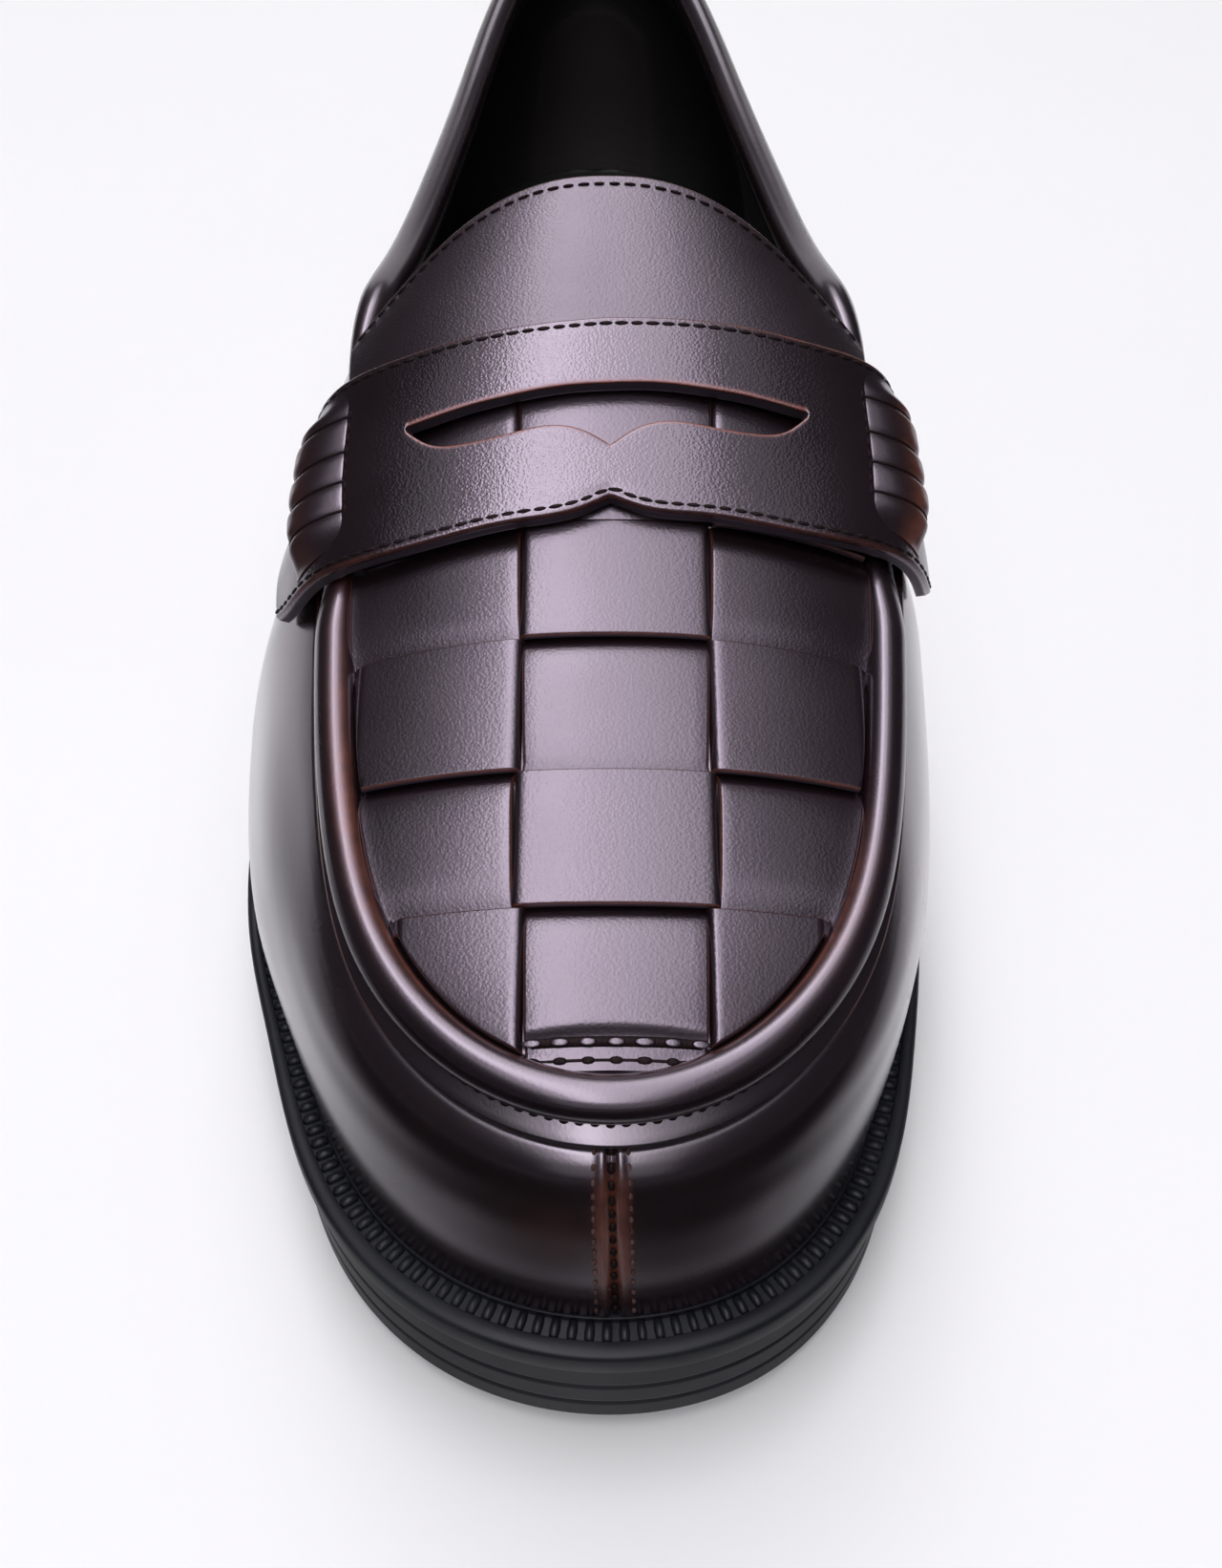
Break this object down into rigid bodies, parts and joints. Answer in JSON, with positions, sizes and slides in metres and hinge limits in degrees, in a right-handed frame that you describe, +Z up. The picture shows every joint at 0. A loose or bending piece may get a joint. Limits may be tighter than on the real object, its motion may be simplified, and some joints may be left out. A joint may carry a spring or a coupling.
{
  "type": "braided loafer",
  "caption": "Slip-on leather loafer with a woven plug, a slotted saddle strap, a rolled moc seam and a thick rubber sole with a heel.",
  "frame": {"origin": "middle of the shoe's bounding box, on the ground plane under the sole", "axes": "-Y towards the toe, +Y towards the heel, -X to the lateral side of this right shoe, +Z up"},
  "size_m": [0.1048, 0.301, 0.1038],
  "materials": {
    "sole_rubber": "matte",
    "welt_rubber": "satin",
    "sock_leather": "matte",
    "upper_leather": "polished",
    "roll_leather": "polished",
    "strap_leather": "polished"
  },
  "bodies": {
    "root": {"outsole": "sole_rubber", "welt": "welt_rubber", "insole": "sock_leather", "upper": "upper_leather", "seam_roll": "roll_leather", "tongue": "upper_leather", "strap": "strap_leather", "beef_roll_lateral": "roll_leather", "beef_roll_medial": "roll_leather", "collar_roll": "roll_leather"}
  },
  "joints": []
}
